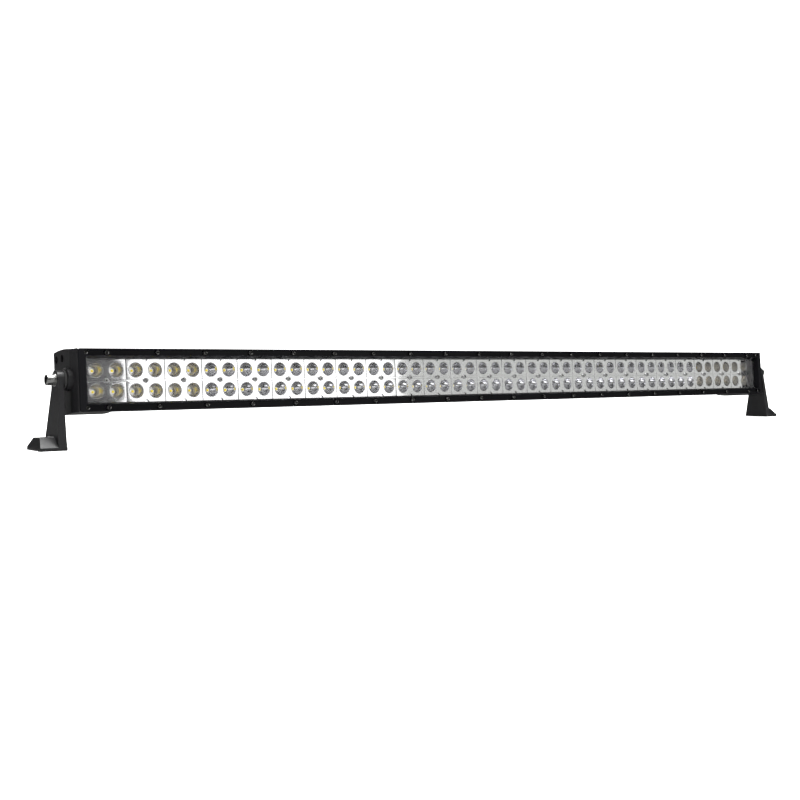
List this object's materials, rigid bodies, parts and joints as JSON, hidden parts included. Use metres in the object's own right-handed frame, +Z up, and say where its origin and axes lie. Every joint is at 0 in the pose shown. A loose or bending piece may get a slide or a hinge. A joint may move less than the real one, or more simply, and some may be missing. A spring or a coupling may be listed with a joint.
{
  "type": "led light bar",
  "caption": "Long dual-row LED light bar with bright reflector cups behind a clear lens, a finned black housing, and a swivel bracket with a saddle foot at each end.",
  "frame": {"origin": "on the surface that the feet stand on, under the middle of the whole object's box", "axes": "+X along the bar to the right-hand end as seen from behind the light, the light shines along -Y and slightly up, +Z up"},
  "size_m": [1.394, 0.0902, 0.1191],
  "materials": {
    "housing_paint": "satin black powder coat on extruded aluminium",
    "bezel_paint": "satin black powder coat on aluminium",
    "cap_paint": "satin black powder coat on die-cast aluminium",
    "bracket_paint": "satin black powder coat on cast aluminium",
    "clear_lens": "clear polycarbonate, polished",
    "silicone": "grey silicone, matte",
    "stainless": "bright stainless steel",
    "black_rubber": "matte black rubber",
    "metallised": "vacuum-metallised plastic, mirror bright",
    "board_white": "white solder mask on an aluminium-core board",
    "led_phosphor": "yellow phosphor under clear silicone",
    "thermal_pad": "soft grey-blue pad",
    "board_green": "green solder mask",
    "copper_coil": "enamelled copper wire",
    "capacitor_sleeve": "dark plastic sleeve",
    "brass_pin": "tinned brass",
    "black_nylon": "black nylon"
  },
  "bodies": {
    "light_bar": {"bezel_screws": "stainless", "board_link_pins": "brass_pin", "breather_cap": "black_nylon", "breather_vent": "black_nylon", "cable_gland_body": "black_nylon", "cable_gland_nut": "black_nylon", "cable_gland_ring": "black_rubber", "cable_gland_seal": "black_rubber", "driver_boards": "board_green", "driver_capacitors": "capacitor_sleeve", "driver_coils": "copper_coil", "front_bezel": "bezel_paint", "housing": "housing_paint", "led_boards": "board_white", "led_emitters": "led_phosphor", "left_cap_screws": "stainless", "left_end_cap": "cap_paint", "left_end_gasket": "black_rubber", "left_flat_washer": "stainless", "left_flood_reflectors": "metallised", "left_pivot_bolt": "stainless", "left_rubber_washer": "black_rubber", "left_spring_washer": "stainless", "lens": "clear_lens", "lens_gasket": "silicone", "reflector_screws": "stainless", "right_cap_screws": "stainless", "right_end_cap": "cap_paint", "right_end_gasket": "black_rubber", "right_flat_washer": "stainless", "right_flood_reflectors": "metallised", "right_pivot_bolt": "stainless", "right_rubber_washer": "black_rubber", "right_spring_washer": "stainless", "spot_reflectors": "metallised", "thermal_pads": "thermal_pad"},
    "left_bracket": {"left_bracket": "bracket_paint"},
    "right_bracket": {"right_bracket": "bracket_paint"}
  },
  "joints": [
    {"name": "left_bracket_swivel", "type": "hinge", "parent": "light_bar", "child": "left_bracket", "pos_m": [-0.6654, -0.01995, 0.082], "axis": [1, 0, 0], "continuous": true},
    {"name": "right_bracket_swivel", "type": "hinge", "parent": "light_bar", "child": "right_bracket", "pos_m": [0.6654, -0.01995, 0.082], "axis": [1, 0, 0], "continuous": true}
  ]
}
